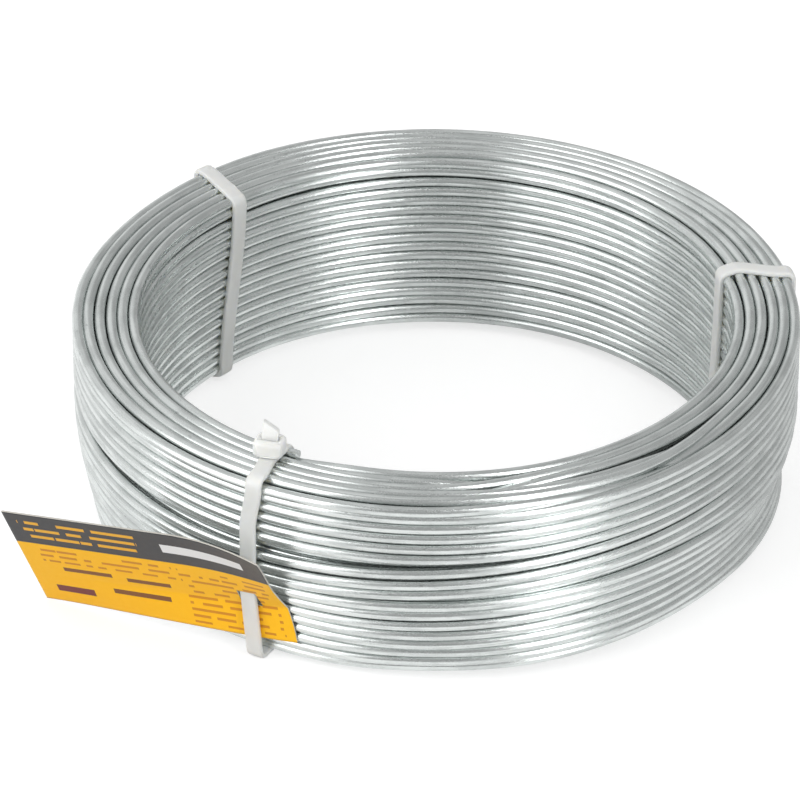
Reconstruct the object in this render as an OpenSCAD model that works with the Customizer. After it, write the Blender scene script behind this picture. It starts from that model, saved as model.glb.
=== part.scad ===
// A coil of galvanized wire: one length of wire wound in layers round an open eye,
// held by three nylon cable ties, with a printed card tag threaded on the front tie.
// The coil lies on its end. Its axis is +Z, and z = 0 is the floor under the ties.

/* [Wire] */
// Diameter of the wire
wire_d = 2.1; // [1.6:0.05:2.8]
// Gap between one turn and the turn above it
turn_slack = 0.09; // [0.05:0.01:0.3]
// Gap between one layer and the layer outside it
layer_slack = 0.02; // [0.02:0.01:0.1]

/* [Coil] */
// Clear diameter of the eye, inside the innermost turns
eye_d = 113; // [80:1:200]
// Turns from the bottom to the top of the coil
turns_high = 18; // [14:1:24]
// Layers of wire in the upper part
upper_layers = 6; // [5:1:8]
// Layers of wire in the lower part
lower_layers = 5; // [4:1:5]
// Turns in the outermost layer, counted from the top
outer_turns = 8; // [4:1:10]
// How far the lowest outer turn is pulled in by the ties
foot_tuck = 1; // [0:0.1:2]

/* [Cable ties] */
// Width of a tie's strap
tie_w = 3.5; // [2.5:0.1:4.8]
// Thickness of a tie's strap
tie_t = 1.1; // [0.8:0.05:1.4]
// Gap between a strap and the wire that it is drawn round
tie_gap = 0.1; // [0.05:0.01:0.3]
// Length of a tie's head, along the strap
head_l = 4.8; // [4:0.1:8]
// Width of a tie's head
head_w = 5.4; // [5:0.1:8]
// Height of a tie's head, above the wire side of its strap
head_h = 4.9; // [3:0.1:6]
// Step up from the strap's wire side to the head's underside
head_step = 0.6; // [0.1:0.05:0.7]
// Length of the cut end that stands out of a head
tail_l = 2; // [0.5:0.1:4]
// Where the front tie is, round the coil
front_at = 240.7; // [225:0.1:260]
// How far the front tie's head is outside the innermost turns
front_head_in = 3.5; // [0:0.1:5]
// Where the back tie is, round the coil
back_at = 135; // [120:1:150]
// Where the right tie is, round the coil
right_at = 12; // [0:1:25]
// Height of the back and right ties' heads
wall_head_z = 9; // [6:0.5:20]

/* [Card tag] */
// Length of the card
card_w = 53; // [35:0.5:75]
// Height of the card
card_h = 28.5; // [22:0.5:36]
// Thickness of the card
card_t = 0.3; // [0.2:0.05:0.5]
// Distance from the slit to the card's right end
slit_to_end = 7.7; // [5:0.5:12]
// Distance from the slit to the card's bottom edge
slit_to_foot = 8.7; // [6:0.1:10]
// Height of the slit above the floor
slit_z = 13.1; // [12:0.1:16]
// How far the card's free end swings out from the coil, in degrees
card_swing = 6.4; // [4:0.1:10]
// Height of the card's lowest corner above the floor
corner_gap = 0.15; // [0.1:0.05:2]
// Lean of the card's face away from the coil, in degrees
card_lean = 24.5; // [15:1:30]
// Lean of the card's top corner at its short end, in degrees
corner_lean = 35; // [25:1:45]
// Bend of the card's short end, in degrees for each millimetre
card_curl = 0.3; // [0.1:0.1:1.2]
// Gap between the card and the strap in its slit
card_gap = 0.08; // [0.05:0.01:0.2]
// Gap between the card and the turns behind it, at the front tie
card_clear = 0.72; // [0.6:0.02:1.6]
// How far the card props the front tie off the coil
card_prop = 1; // [0.6:0.1:2]
// Height of that prop above the slit
prop_rise = 3; // [2:0.1:4]

/* [Hidden] */
$fn = 96;

wire_r = wire_d / 2;
turn_pitch = wire_d + turn_slack;
layer_pitch = wire_d + layer_slack;
low_turns = turns_high - outer_turns;
core_out = wire_r / 3;                // the solid core reaches this far past the wires' centres
bottom_z = tie_t + tie_gap + wire_r;  // centre height of the lowest turns

function turn_z(i) = bottom_z + i * turn_pitch;
function layer_r(k) = eye_d / 2 + wire_r + k * layer_pitch;

// The lower part's outermost turns. The ties pull the lowest ones in to their straight run.
foot_r = layer_r(lower_layers - 1) - foot_tuck;
function low_r(i) = min(
    layer_r(lower_layers - 1),
    foot_r + (layer_r(upper_layers - 1) - foot_r) * i / low_turns
);

top_z = turn_z(turns_high - 1);
step_z = turn_z(low_turns);           // centre height of the lowest turn in the outermost layer

// The coil: a turned solid whose surface shows every outer turn.
module wire_coil() {
    color("silver")
    rotate_extrude() {
        polygon([
            [layer_r(0) - core_out, bottom_z - core_out],
            [low_r(0) + core_out, bottom_z - core_out],
            for (i = [1 : low_turns - 1]) [low_r(i) + core_out, turn_z(i)],
            [layer_r(lower_layers - 1) + core_out, step_z - core_out],
            [layer_r(upper_layers - 1) + core_out, step_z - core_out],
            [layer_r(upper_layers - 1) + core_out, top_z + core_out],
            [layer_r(0) - core_out, top_z + core_out]
        ]);
        for (i = [0 : turns_high - 1]) translate([layer_r(0), turn_z(i)]) circle(r = wire_r);
        for (i = [0 : low_turns - 1]) translate([low_r(i), turn_z(i)]) circle(r = wire_r);
        for (i = [low_turns : turns_high - 1])
            translate([layer_r(upper_layers - 1), turn_z(i)]) circle(r = wire_r);
        for (k = [1 : upper_layers - 2]) translate([layer_r(k), top_z]) circle(r = wire_r);
        for (k = [1 : lower_layers - 2]) translate([layer_r(k), bottom_z]) circle(r = wire_r);
    }
}

// A tie is drawn round the coil's corner turns. In the plane of a tie, x is the distance
// from the coil's axis and y is the height. Corners are listed anticlockwise.
strap_in = wire_r + tie_gap;          // from a corner turn's centre to the strap's wire side
strap_out = strap_in + tie_t;         // and to its outer side
arc_step = 15;                        // degrees between points on the strap's bends

foot_in = [layer_r(0), bottom_z];
foot_out = [low_r(0), bottom_z];
step_out = [layer_r(upper_layers - 1), step_z];
top_out = [layer_r(upper_layers - 1), top_z];
top_in = [layer_r(0), top_z];
plain_corners = [foot_in, foot_out, step_out, top_out, top_in];

// The front tie also goes round the card, which holds it off the lower turns.
card_room = card_t + card_gap + card_clear;
room_r = foot_out.x + card_room;
prop_z = slit_z + min(prop_rise, (step_z - slit_z) / 2);
straight_r = room_r + (step_out.x - room_r) * (prop_z - bottom_z) / (step_z - bottom_z);
prop_r = min(straight_r + card_prop, step_out.x);

// Its lower run leaves the card that room at every turn that it passes.
function run_share(i) = (turn_z(i) - bottom_z) / (prop_z - bottom_z);
card_foot = [
    max([for (i = [0 : low_turns - 1]) if (turn_z(i) < slit_z)
        (low_r(i) + card_room - prop_r * run_share(i)) / (1 - run_share(i))]),
    bottom_z
];
front_corners = [foot_in, card_foot, [prop_r, prop_z], step_out, top_out, top_in];

function heading(a, b) = atan2(b.y - a.y, b.x - a.x);
// The angle from one heading to the next, turning left, with a hair's turn right taken as none.
function left_turn(a, b) = let (turn = (b - a + 720) % 360) turn > 359 ? 0 : turn;

// Points at a distance r outside a loop of corners, with a round bend at each corner.
function loop_points(corners, r) = let (n = len(corners)) [
    for (i = [0 : n - 1])
        let (
            before = heading(corners[(i + n - 1) % n], corners[i]) - 90,
            turn = left_turn(before + 90, heading(corners[i], corners[(i + 1) % n])),
            steps = max(1, ceil(turn / arc_step))
        )
        for (s = [0 : steps])
            corners[i] + r * [cos(before + turn * s / steps), sin(before + turn * s / steps)]
];

// Stands a drawing in a tie's plane up at an angle round the coil, with a width.
module in_tie_plane(at, width) {
    rotate([90, 0, at]) translate([0, 0, -width / 2]) linear_extrude(width) children();
}

module strap(at, corners, slack = 0, side_slack = 0) {
    in_tie_plane(at, tie_w + 2 * side_slack) difference() {
        polygon(loop_points(corners, strap_out + slack));
        polygon(loop_points(corners, strap_in - slack));
    }
}

// A head on the strap at a point in the tie's plane, with the cut end standing out of it.
// Its x runs along the strap, and its y outwards from the wire side.
module head(at, place, turn) {
    in_tie_plane(at, head_w) translate(place) rotate(turn)
        translate([-head_l / 2, head_step]) square([head_l, head_h - head_step]);
    in_tie_plane(at, tie_w) translate(place) rotate(turn)
        translate([-tie_t / 2, head_step]) square([tie_t, head_h - head_step + tail_l]);
}

// The front tie's head is on the top turns.
module tie_front() {
    color("ivory") {
        strap(front_at, front_corners);
        head(front_at, [top_in.x + front_head_in, top_in.y + strap_in], 0);
    }
}

// The back tie's head is on the outer wall, at right angles to the sloping strap.
back_slope = heading(foot_out, step_out);
back_head_r = foot_out.x + (wall_head_z - foot_out.y) / tan(back_slope) + strap_in / sin(back_slope);

module tie_back() {
    color("ivory") {
        strap(back_at, plain_corners);
        head(back_at, [back_head_r, wall_head_z], back_slope - 180);
    }
}

// The right tie's head is on the inner wall.
module tie_right() {
    color("ivory") {
        strap(right_at, plain_corners);
        head(right_at, [foot_in.x - strap_in, wall_head_z], 90);
    }
}

// The card. u runs along it from the slit to its short end, and v runs down its face.
// Below the slit it lies along the strap, on the wire side. Above, it leans out in front.
foot_lean = 90 - heading(card_foot, [prop_r, prop_z]);
slit_r = card_foot.x + (slit_z - card_foot.y) * tan(foot_lean)
         + (strap_in - card_gap - card_t / 2) / cos(foot_lean);
slit = [slit_r * cos(front_at), slit_r * sin(front_at), slit_z];
card_yaw = front_at + 90 + card_swing;
far_u = slit_to_end - card_w;         // the free end
top_v = slit_to_foot - card_h;        // the top edge
lift_u = 12;                          // the top edge starts to lean out this far before the slit

// The lowest turn of the outermost layer pushes the card out at least as far as this lean.
step_room = wire_r + card_clear + card_t / 2;
step_lean = asin(min(1, step_room / norm([slit_r - step_out.x, step_z - slit_z])))
            - atan2(slit_r - step_out.x, step_z - slit_z);
face_lean = max(card_lean, step_lean);

function clamp01(x) = max(0, min(1, x));
function smooth(x) = x * x * (3 - 2 * x);
function yaw_at(u) = card_yaw + card_curl * max(0, u);

// The card's free end droops until its lower corner is just off the floor.
corner_drop = slit_to_foot * cos(face_lean) + card_t / 2 * sin(face_lean);
card_droop = asin((slit_z - corner_gap) / norm([far_u, corner_drop])) - atan(corner_drop / -far_u);

// The line along the card through its slit: straight, then an arc past the tie.
function card_line(u) = let (
        w = min(0, u),
        k = 180 / PI / card_curl,
        along = w * [cos(card_yaw), sin(card_yaw)]
                + k * [sin(yaw_at(u)) - sin(card_yaw), cos(card_yaw) - cos(yaw_at(u))]
    )
    slit + [along.x * cos(card_droop), along.y * cos(card_droop), u * sin(card_droop)];

function upper_lean(u) = face_lean
    + max(0, corner_lean - face_lean) * pow(clamp01((u + lift_u) / (slit_to_end + lift_u)), 2);
function lower_lean(u) = face_lean + (foot_lean - face_lean) * smooth(clamp01(1 - u / far_u));
function lean_at(u, v) = v < 0 ? upper_lean(u) : lower_lean(u);

// The way down the card's face, and the way out of it, at a lean.
function down(u, lean) = let (a = yaw_at(u)) [
    cos(lean) * sin(card_droop) * cos(a) - sin(lean) * sin(a),
    cos(lean) * sin(card_droop) * sin(a) + sin(lean) * cos(a),
    -cos(lean) * cos(card_droop)
];
function out(u, lean) = let (a = yaw_at(u)) [
    cos(lean) * sin(a) + sin(lean) * sin(card_droop) * cos(a),
    -cos(lean) * cos(a) + sin(lean) * sin(card_droop) * sin(a),
    -sin(lean) * cos(card_droop)
];
function card_point(u, v, side) = let (lean = lean_at(u, v))
    card_line(u) + v * down(u, lean) + side * card_t / 2 * out(u, lean);

u_steps = [for (i = [0 : 12]) far_u * (1 - i / 12), for (i = [1 : 4]) slit_to_end * i / 4];
v_steps = [top_v, top_v / 2, 0, slit_to_foot / 2, slit_to_foot];
nu = len(u_steps);
nv = len(v_steps);
function card_index(side, i, j) = (side * nu + i) * nv + j;

module card_sheet() {
    polyhedron(
        points = [for (side = [-1, 1], u = u_steps, v = v_steps) card_point(u, v, side)],
        faces = [
            for (i = [0 : nu - 2], j = [0 : nv - 2]) each [
                [card_index(1, i, j), card_index(1, i + 1, j), card_index(1, i + 1, j + 1)],
                [card_index(1, i, j), card_index(1, i + 1, j + 1), card_index(1, i, j + 1)],
                [card_index(0, i, j), card_index(0, i + 1, j + 1), card_index(0, i + 1, j)],
                [card_index(0, i, j), card_index(0, i, j + 1), card_index(0, i + 1, j + 1)]
            ],
            for (i = [0 : nu - 2]) each [
                [card_index(0, i, 0), card_index(0, i + 1, 0), card_index(1, i + 1, 0), card_index(1, i, 0)],
                [card_index(1, i, nv - 1), card_index(1, i + 1, nv - 1),
                 card_index(0, i + 1, nv - 1), card_index(0, i, nv - 1)]
            ],
            for (j = [0 : nv - 2]) each [
                [card_index(1, 0, j), card_index(1, 0, j + 1), card_index(0, 0, j + 1), card_index(0, 0, j)],
                [card_index(0, nu - 1, j), card_index(0, nu - 1, j + 1),
                 card_index(1, nu - 1, j + 1), card_index(1, nu - 1, j)]
            ]
        ]
    );
}

slit_slack = card_gap / 2;            // room round the strap, less than its gap below the slit

module tag() {
    color("orange")
    difference() {
        card_sheet();
        strap(front_at, front_corners, slack = slit_slack, side_slack = card_gap);
    }
}

wire_coil();
tie_front();
tie_back();
tie_right();
tag();
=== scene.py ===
# %% [markdown]
# # A coil of galvanized wire
#
# The object is about 37 m of zinc-coated steel wire, wound in layers round an open eye.
# Three nylon cable ties hold it, and a printed card hangs on the front one.
# This lesson rebuilds what shows of it: the wire as long tubes laid in turns, one for each
# layer, the ties as bands drawn round the turns, and the card as a thin bent sheet.
# Everything is in metres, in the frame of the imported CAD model, with z = 0 at the floor.

import math

import bmesh
import bpy
import numpy as np
from mathutils import Matrix, Vector


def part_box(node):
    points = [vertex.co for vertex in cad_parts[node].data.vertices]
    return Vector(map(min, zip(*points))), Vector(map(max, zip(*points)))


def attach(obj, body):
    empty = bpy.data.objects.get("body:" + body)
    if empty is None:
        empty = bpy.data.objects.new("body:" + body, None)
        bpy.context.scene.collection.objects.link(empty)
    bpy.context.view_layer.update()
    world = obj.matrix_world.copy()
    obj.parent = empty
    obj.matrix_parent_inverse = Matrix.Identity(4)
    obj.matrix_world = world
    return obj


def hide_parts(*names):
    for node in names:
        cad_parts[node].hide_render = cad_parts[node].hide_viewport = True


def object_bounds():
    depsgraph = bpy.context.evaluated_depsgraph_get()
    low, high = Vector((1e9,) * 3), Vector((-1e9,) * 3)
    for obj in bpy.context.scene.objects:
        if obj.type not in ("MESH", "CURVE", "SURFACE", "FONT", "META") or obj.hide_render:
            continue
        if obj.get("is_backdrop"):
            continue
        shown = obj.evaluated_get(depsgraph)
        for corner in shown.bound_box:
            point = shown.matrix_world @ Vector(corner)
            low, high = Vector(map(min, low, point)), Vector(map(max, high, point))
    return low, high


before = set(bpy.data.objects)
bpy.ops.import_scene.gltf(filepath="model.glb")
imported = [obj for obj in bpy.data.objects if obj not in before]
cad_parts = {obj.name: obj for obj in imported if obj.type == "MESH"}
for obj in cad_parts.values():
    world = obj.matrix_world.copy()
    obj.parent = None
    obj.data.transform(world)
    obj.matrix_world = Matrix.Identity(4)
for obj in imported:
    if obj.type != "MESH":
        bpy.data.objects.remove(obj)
cad_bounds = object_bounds()
MM = 0.001
print("CAD box, in mm:", [[round(v / MM, 1) for v in corner] for corner in cad_bounds])

# %% [markdown]
# ## Camera and light
#
# The camera is a long lens a good metre away, looking down on the coil at 33 degrees. It
# starts square to the coil's axis, and is then rolled, panned and tilted by a little. A long
# lens keeps the near and the far side of the coil at almost the same scale.

# %% Camera
CAMERA_DISTANCE = 1.2097
CAMERA_ELEVATION = math.radians(33.08)
CAMERA_ROLL = 0.37                          # degrees
PAN, TILT = 0.323, 0.742                    # degrees to the left of the coil's axis, and above it
LENS = 281.5                                # millimetres, on a sensor 36 wide
AIM_HEIGHT = 0.0012                         # the camera aims this much above the floor

axis_foot = Vector((0, 0, AIM_HEIGHT))
toward_camera = Vector((0, -math.cos(CAMERA_ELEVATION), math.sin(CAMERA_ELEVATION)))
camera_data = bpy.data.cameras.new("camera")
camera_data.lens = LENS
camera_data.sensor_width = 36
camera_data.clip_end = 20
camera = bpy.data.objects.new("camera", camera_data)
bpy.context.collection.objects.link(camera)
level = toward_camera.to_track_quat("Z", "Y").to_matrix()
turned = [Matrix.Rotation(math.radians(v), 3, axis) for v, axis in (
    (CAMERA_ROLL, "Z"), (PAN, "Y"), (TILT, "X"))]
camera.matrix_world = Matrix.LocRotScale(
    axis_foot + toward_camera * CAMERA_DISTANCE, level @ turned[0] @ turned[1] @ turned[2], None)
bpy.context.scene.camera = camera
bpy.context.scene.view_settings.view_transform = "Standard"
print("camera at", [round(v, 3) for v in camera.location])

# %% [markdown]
# Metal shows what is round it, so the lamps are what draws the wire. A wide upright panel on
# the left gives the broad bright stretch, and a tall narrow one on the right gives the
# bright stripe that crosses the turns. Area lamps do this best, because a mirror sees their
# whole shape. The rest of the room is a plain grey sky, which comes further down.

# %% Soft panels
PANEL_DISTANCE = 1.3


def upright_panel(name, azimuth, half_angle, top, brightness):
    """An upright area lamp that stands on the floor and faces the coil's axis. half_angle is
    half of its width, seen from the axis. Its brightness is the light that it gives off in
    each direction, so its power is brightness x area x pi."""
    width = 2 * PANEL_DISTANCE * math.tan(math.radians(half_angle))
    lamp = bpy.data.lights.new(name, "AREA")
    lamp.shape = "RECTANGLE"
    lamp.size = width
    lamp.size_y = top
    lamp.energy = brightness * width * top * math.pi
    a = math.radians(azimuth)
    away = Vector((math.cos(a), math.sin(a), 0))
    panel = bpy.data.objects.new(name, lamp)
    bpy.context.collection.objects.link(panel)
    panel.location = away * PANEL_DISTANCE + Vector((0, 0, top / 2))
    panel.rotation_euler = away.to_track_quat("Z", "Y").to_euler()


upright_panel("panel_left", azimuth=210, half_angle=28, top=2.2, brightness=2.1)
upright_panel("strip_right", azimuth=304, half_angle=6.5, top=3.4, brightness=7.1)

# %% [markdown]
# ## Writing materials as sums
#
# Blender's shader nodes are wired one by one, which makes even a short formula long.
# A small class holds one socket and overloads +, -, * and /, so that a mask can be written
# as an expression, and one method adds any other kind of node with its settings first.

# %% Shader helpers


class Socket:
    """A socket in a material. Sums and products of sockets add Math nodes."""

    def __init__(self, graph, socket):
        self.graph = graph
        self.socket = socket

    def math(self, operation, *others):
        values = {0: self, **{i + 1: other for i, other in enumerate(others)}}
        return self.graph.add("ShaderNodeMath", {"operation": operation}, values)

    def __add__(self, other):
        return self.math("ADD", other)

    def __radd__(self, other):
        return self.math("ADD", other)

    def __sub__(self, other):
        return self.math("SUBTRACT", other)

    def __rsub__(self, other):
        return (self * -1) + other

    def __mul__(self, other):
        return self.math("MULTIPLY", other)

    def __rmul__(self, other):
        return self.math("MULTIPLY", other)

    def __truediv__(self, other):
        return self.math("DIVIDE", other)

    def __gt__(self, other):
        return self.math("GREATER_THAN", other)

    def __lt__(self, other):
        return self.math("LESS_THAN", other)

    def fade(self, low, high):
        """0 below low, 1 above high, and smooth between them."""
        settings = {"interpolation_type": "SMOOTHSTEP"}
        return self.graph.add("ShaderNodeMapRange", settings, {0: self, 1: low, 2: high})


class Graph:
    """The node tree of one material, or of the sky."""

    def __init__(self, block):
        block.use_nodes = True
        self.block = block
        self.tree = block.node_tree
        self.tree.nodes.clear()

    def add(self, kind, settings=None, sockets=None, out=0):
        """Adds a node, sets its settings, then its sockets' values or links."""
        node = self.tree.nodes.new(kind)
        for key, value in (settings or {}).items():
            setattr(node, key, value)
        for key, value in (sockets or {}).items():
            if isinstance(value, Socket):
                self.tree.links.new(value.socket, node.inputs[key])
            else:
                node.inputs[key].default_value = value
        return Socket(self, node.outputs[out])

    def noise(self, place, scale, detail=2.0, rough=0.5):
        """Smooth random values about 0.5."""
        return self.add("ShaderNodeTexNoise", {}, {
            "Vector": place, "Scale": scale, "Detail": detail, "Roughness": rough})

    def stretch(self, place, scale):
        """The place, scaled along its own axes."""
        return self.add("ShaderNodeMapping", {}, {"Vector": place, "Scale": scale})

    def direction_round(self, place):
        """The direction of a place from the coil's axis, in degrees round it, from +X."""
        x = self.add("ShaderNodeSeparateXYZ", {}, {0: place}, out=0)
        y = self.add("ShaderNodeSeparateXYZ", {}, {0: place}, out=1)
        return y.math("ARCTAN2", x) * (180 / math.pi)

    def mix(self, share, a, b):
        """The colour a, turning into b as share goes from 0 to 1."""
        a, b = [(*c, 1) if isinstance(c, tuple) else c for c in (a, b)]
        return self.add("ShaderNodeMix", {"data_type": "RGBA"}, {0: share, 6: a, 7: b}, out=2)

    def finish(self, shader, output="ShaderNodeOutputMaterial"):
        """Makes the shader the surface, and returns the material or the sky."""
        end = self.tree.nodes.new(output)
        self.tree.links.new(shader.socket, end.inputs["Surface"])
        return self.block


def new_material(name):
    return Graph(bpy.data.materials.new(name))


print("shader helpers ready")

# %% [markdown]
# ## Floor and sky
#
# The floor is one big square of pale paper. A glow is added for camera, glossy and
# transmission rays only, so it reads as white and still takes the coil's soft shadow, and
# the light on the coil stays as it is. Mirrors see less of the glow at the right of the
# coil, where the room is dimmer, so the wire's lower half is darker there.

# %% Floor
FLOOR_HALF = 4.0
FLOOR_PAPER = 0.5
FLOOR_GLOW = 0.62
GLOW_AT_RIGHT = 0.45                        # share of the glow that mirrors see there
RIGHT_FROM, RIGHT_TO = (-45, -5), (80, 110)  # degrees over which that part begins and ends


def white_for_eye(g):
    """1 for rays that the camera, a mirror or glass sends out, and 0 for the light's own."""
    path = "ShaderNodeLightPath"
    return g.add(path, out=0) + g.add(path, out=3) + g.add(path, out=6)


def floor_material():
    """Pale paper with a glow that only the eye and mirrors see."""
    g = new_material("floor_paper")
    place = g.add("ShaderNodeTexCoord", out=3)
    shade = g.mix(g.noise(place, 40.0), (FLOOR_PAPER,) * 3, (FLOOR_PAPER * 0.97,) * 3)
    paper = g.add("ShaderNodeBsdfDiffuse", {}, {"Color": shade})
    at = g.direction_round(place)
    right = at.fade(*RIGHT_FROM) * (1 - at.fade(*RIGHT_TO))
    mirrored = g.add("ShaderNodeLightPath", out=3)
    tint = g.mix(right * mirrored, (1, 1, 1), (GLOW_AT_RIGHT,) * 3)
    glow = g.add("ShaderNodeEmission", {}, {
        "Color": tint, "Strength": white_for_eye(g) * FLOOR_GLOW})
    return g.finish(g.add("ShaderNodeAddShader", {}, {0: paper, 1: glow}))


floor_mesh = bpy.data.meshes.new("floor")
square = FLOOR_HALF * np.array([(-1, -1, 0), (1, -1, 0), (1, 1, 0), (-1, 1, 0)])
floor_mesh.from_pydata(square.tolist(), [], [(0, 1, 2, 3)])
floor = bpy.data.objects.new("floor", floor_mesh)
bpy.context.collection.objects.link(floor)
floor_mesh.materials.append(floor_material())
floor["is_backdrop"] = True
print("floor", 2 * FLOOR_HALF, "m across")

# %% [markdown]
# The sky is white for the camera in the same way as the floor. For the light it is grey:
# paler towards the back left, and dark behind the camera, where the wire's front gets its
# dark lines from. Its brightness depends on the direction round the coil and nothing else.

# %% Sky
SKY = 0.53
SKY_BACK_LEFT = 0.88
PALE_OVER = (75, 110)                       # degrees round, from +X, where it turns pale
SKY_BEHIND_CAMERA = 0.40
DARK_FROM, DARK_TO = -121, -66
DARK_EDGE = 3                               # half of the dark part's soft edge


def sky_world():
    """A grey room with a pale part and a dark part, and plain white for the camera."""
    g = Graph(bpy.data.worlds.new("sky"))
    at = g.direction_round(g.add("ShaderNodeTexCoord", out=0))
    begun = at.fade(DARK_FROM - DARK_EDGE, DARK_FROM + DARK_EDGE)
    dark = begun * (1 - at.fade(DARK_TO - DARK_EDGE, DARK_TO + DARK_EDGE))
    pale = at.fade(*PALE_OVER)
    light = pale * (SKY_BACK_LEFT - SKY) - dark * (SKY - SKY_BEHIND_CAMERA) + SKY
    eye = g.add("ShaderNodeLightPath", out=0)
    strength = light * (1 - eye) + eye
    back = g.add("ShaderNodeBackground", {}, {"Color": (1, 1, 1, 1), "Strength": strength})
    return g.finish(back, "ShaderNodeOutputWorld")


bpy.context.scene.world = sky_world()
print("sky", SKY, "with", SKY_BEHIND_CAMERA, "behind the camera")

# %% [markdown]
# ## Surfaces from two parameters
#
# Each new piece is a grid of points: one parameter runs along it, the other across or
# round it. numpy works out all the points at once, and one helper turns such a grid into
# a mesh, closing it round the second parameter and capping its ends where that is asked.

# %% Grid to mesh


def grid_mesh(name, points, loop=False, ring=False, capped=False, keep=None, traits=None):
    """A mesh from points[i, j]. ring joins the last j to the first, loop joins the last i
    to the first, and capped closes the two end rings, with a sharp rim. A face's corners run
    so that its normal is (step in i) x (step in j). keep says which faces stay, and traits
    are named vectors, one for each point."""
    ni, nj = points.shape[:2]
    i, j = np.meshgrid(
        np.arange(ni if loop else ni - 1), np.arange(nj if ring else nj - 1), indexing="ij")
    i2, j2 = (i + 1) % ni, (j + 1) % nj
    quads = np.stack([i * nj + j, i2 * nj + j, i2 * nj + j2, i * nj + j2], axis=-1)
    quads = quads.reshape(-1, 4) if keep is None else quads[keep]
    corners = quads.ravel()
    sizes = np.full(len(quads), 4)
    if capped:
        first, last = np.arange(nj), (ni - 1) * nj + np.arange(nj)
        corners = np.concatenate([corners, first, last[::-1]])
        sizes = np.concatenate([sizes, [nj, nj]])
    mesh = bpy.data.meshes.new(name)
    mesh.vertices.add(ni * nj)
    mesh.vertices.foreach_set("co", points.reshape(-1).astype(np.float32))
    mesh.loops.add(len(corners))
    mesh.loops.foreach_set("vertex_index", corners.astype(np.int32))
    mesh.polygons.add(len(sizes))
    starts = np.concatenate([[0], np.cumsum(sizes)[:-1]])
    mesh.polygons.foreach_set("loop_start", starts.astype(np.int32))
    smooth = np.ones(len(sizes), dtype=bool)
    if capped:
        smooth[-2:] = False
    mesh.polygons.foreach_set("use_smooth", smooth)
    mesh.update(calc_edges=True)
    if capped:
        edge_of = np.empty(len(corners), dtype=np.int32)
        mesh.loops.foreach_get("edge_index", edge_of)
        sharp = np.zeros(len(mesh.edges), dtype=bool)
        sharp[edge_of[-2 * nj:]] = True
        mesh.attributes.new("sharp_edge", "BOOLEAN", "EDGE").data.foreach_set("value", sharp)
    for key, values in (traits or {}).items():
        trait = mesh.attributes.new(key, "FLOAT_VECTOR", "POINT")
        trait.data.foreach_set("vector", values.reshape(-1).astype(np.float32))
    return mesh


def add_piece(name, mesh, material, node):
    """A visible piece: its finish, the CAD node that it stands for, and its ride."""
    mesh.materials.append(material)
    piece = bpy.data.objects.new(name, mesh)
    bpy.context.collection.objects.link(piece)
    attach(piece, "root")
    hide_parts(node)
    mesh.calc_loop_triangles()
    print(name, len(mesh.loop_triangles), "triangles")
    return piece


print("grid helpers ready")

# %% [markdown]
# ## How the wire lies
#
# A coil like this is wound turn by turn along a mandrel, then back over itself, layer on
# layer. Each turn is a plain ring for most of its way, and a short stretch where it
# crosses to the place of the next ring. So the whole path needs only the rings' radii and
# heights, and where each crossing is. The coil's own box in the frame gives the outermost
# ring and the highest and lowest ones, and the wire's diameter gives the steps between.

# %% Ring places
WIRE_R = 1.05 * MM
LAYER_STEP = 2.12 * MM
TURNS_HIGH = 18
LAYERS = 6
FIFTH_TURNS = 8                             # the fifth layer covers only the upper part

coil_low, coil_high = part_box("wire_coil")
outer_r = coil_high.x - WIRE_R
low_z, high_z = coil_low.z + WIRE_R, coil_high.z - WIRE_R
rows = np.linspace(low_z, high_z, TURNS_HIGH)
row_step = rows[1] - rows[0]
layer_r = outer_r - LAYER_STEP * np.arange(LAYERS)[::-1]
print("layer radii, mm:", np.round(layer_r / MM, 2), "row step", round(row_step / MM, 3))

# %% [markdown]
# The crossings of one layer sit nearly above each other, because each turn is laid against
# the one before. A crossing is a smooth step, so the path is the first ring plus the sum of
# all the steps that have been passed. The angle runs backwards from the inner end, which
# shows on top of the coil beside the front tie.

# %% The path of a pass


def ease(x):
    """0 before 0, 1 after 1, and a smooth S between."""
    x = np.clip(x, 0, 1)
    return x * x * (3 - 2 * x)


def after(way, start, over):
    """0 up to start, then rising smoothly to 1 over that many degrees."""
    return ease((way - start) / over)


def hill(at, middle, reach):
    """1 at the middle, falling smoothly to 0 at middle - reach and middle + reach."""
    return 1 - ease(np.abs(at - middle) / reach)


def wander(way, seed, size, waves=9):
    """A slow random sway of about that size: a sum of sines, each 35 to 260 degrees long."""
    random = np.random.default_rng(seed)
    lengths = random.uniform(35, 260, waves)
    turns = random.uniform(0, 360, waves)
    heights = random.normal(0, size / math.sqrt(waves / 2), waves)
    return np.sum(heights * np.sin(np.radians(360 * way[:, None] / lengths + turns)), axis=1)


def wound(start, rings, crossings, width, end, step=2.0):
    """The way along the path and the angle round the coil, in degrees, and the radius and
    height at each point: the first ring, plus each step to the next ring x an S about its
    crossing. rings lists (radius, height), and crossings the way at the middle of each
    crossing. The angle is start - way."""
    way = np.arange(0, end + step / 2, step)
    rings = np.asarray(rings)
    width = np.broadcast_to(width, len(crossings))
    passed = ease((way[:, None] - np.asarray(crossings)) / width + 0.5)
    place = rings[0] + passed @ np.diff(rings, axis=0)
    return way, start - way, place[:, 0], place[:, 1]


print("path helpers ready")

# %% [markdown]
# The five inner layers are one path: down the inner wall from the inner end, then up and
# down again, and the last layer only covers the upper part of the one below. The place of
# the crossings creeps round a little with each turn. A few turns on top were not laid
# quite level, so the path takes small nudges: a lift or a shift over a stretch. One of them
# pushes the last turn of the fourth layer outwards, which leaves a black gap beside it.

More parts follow.
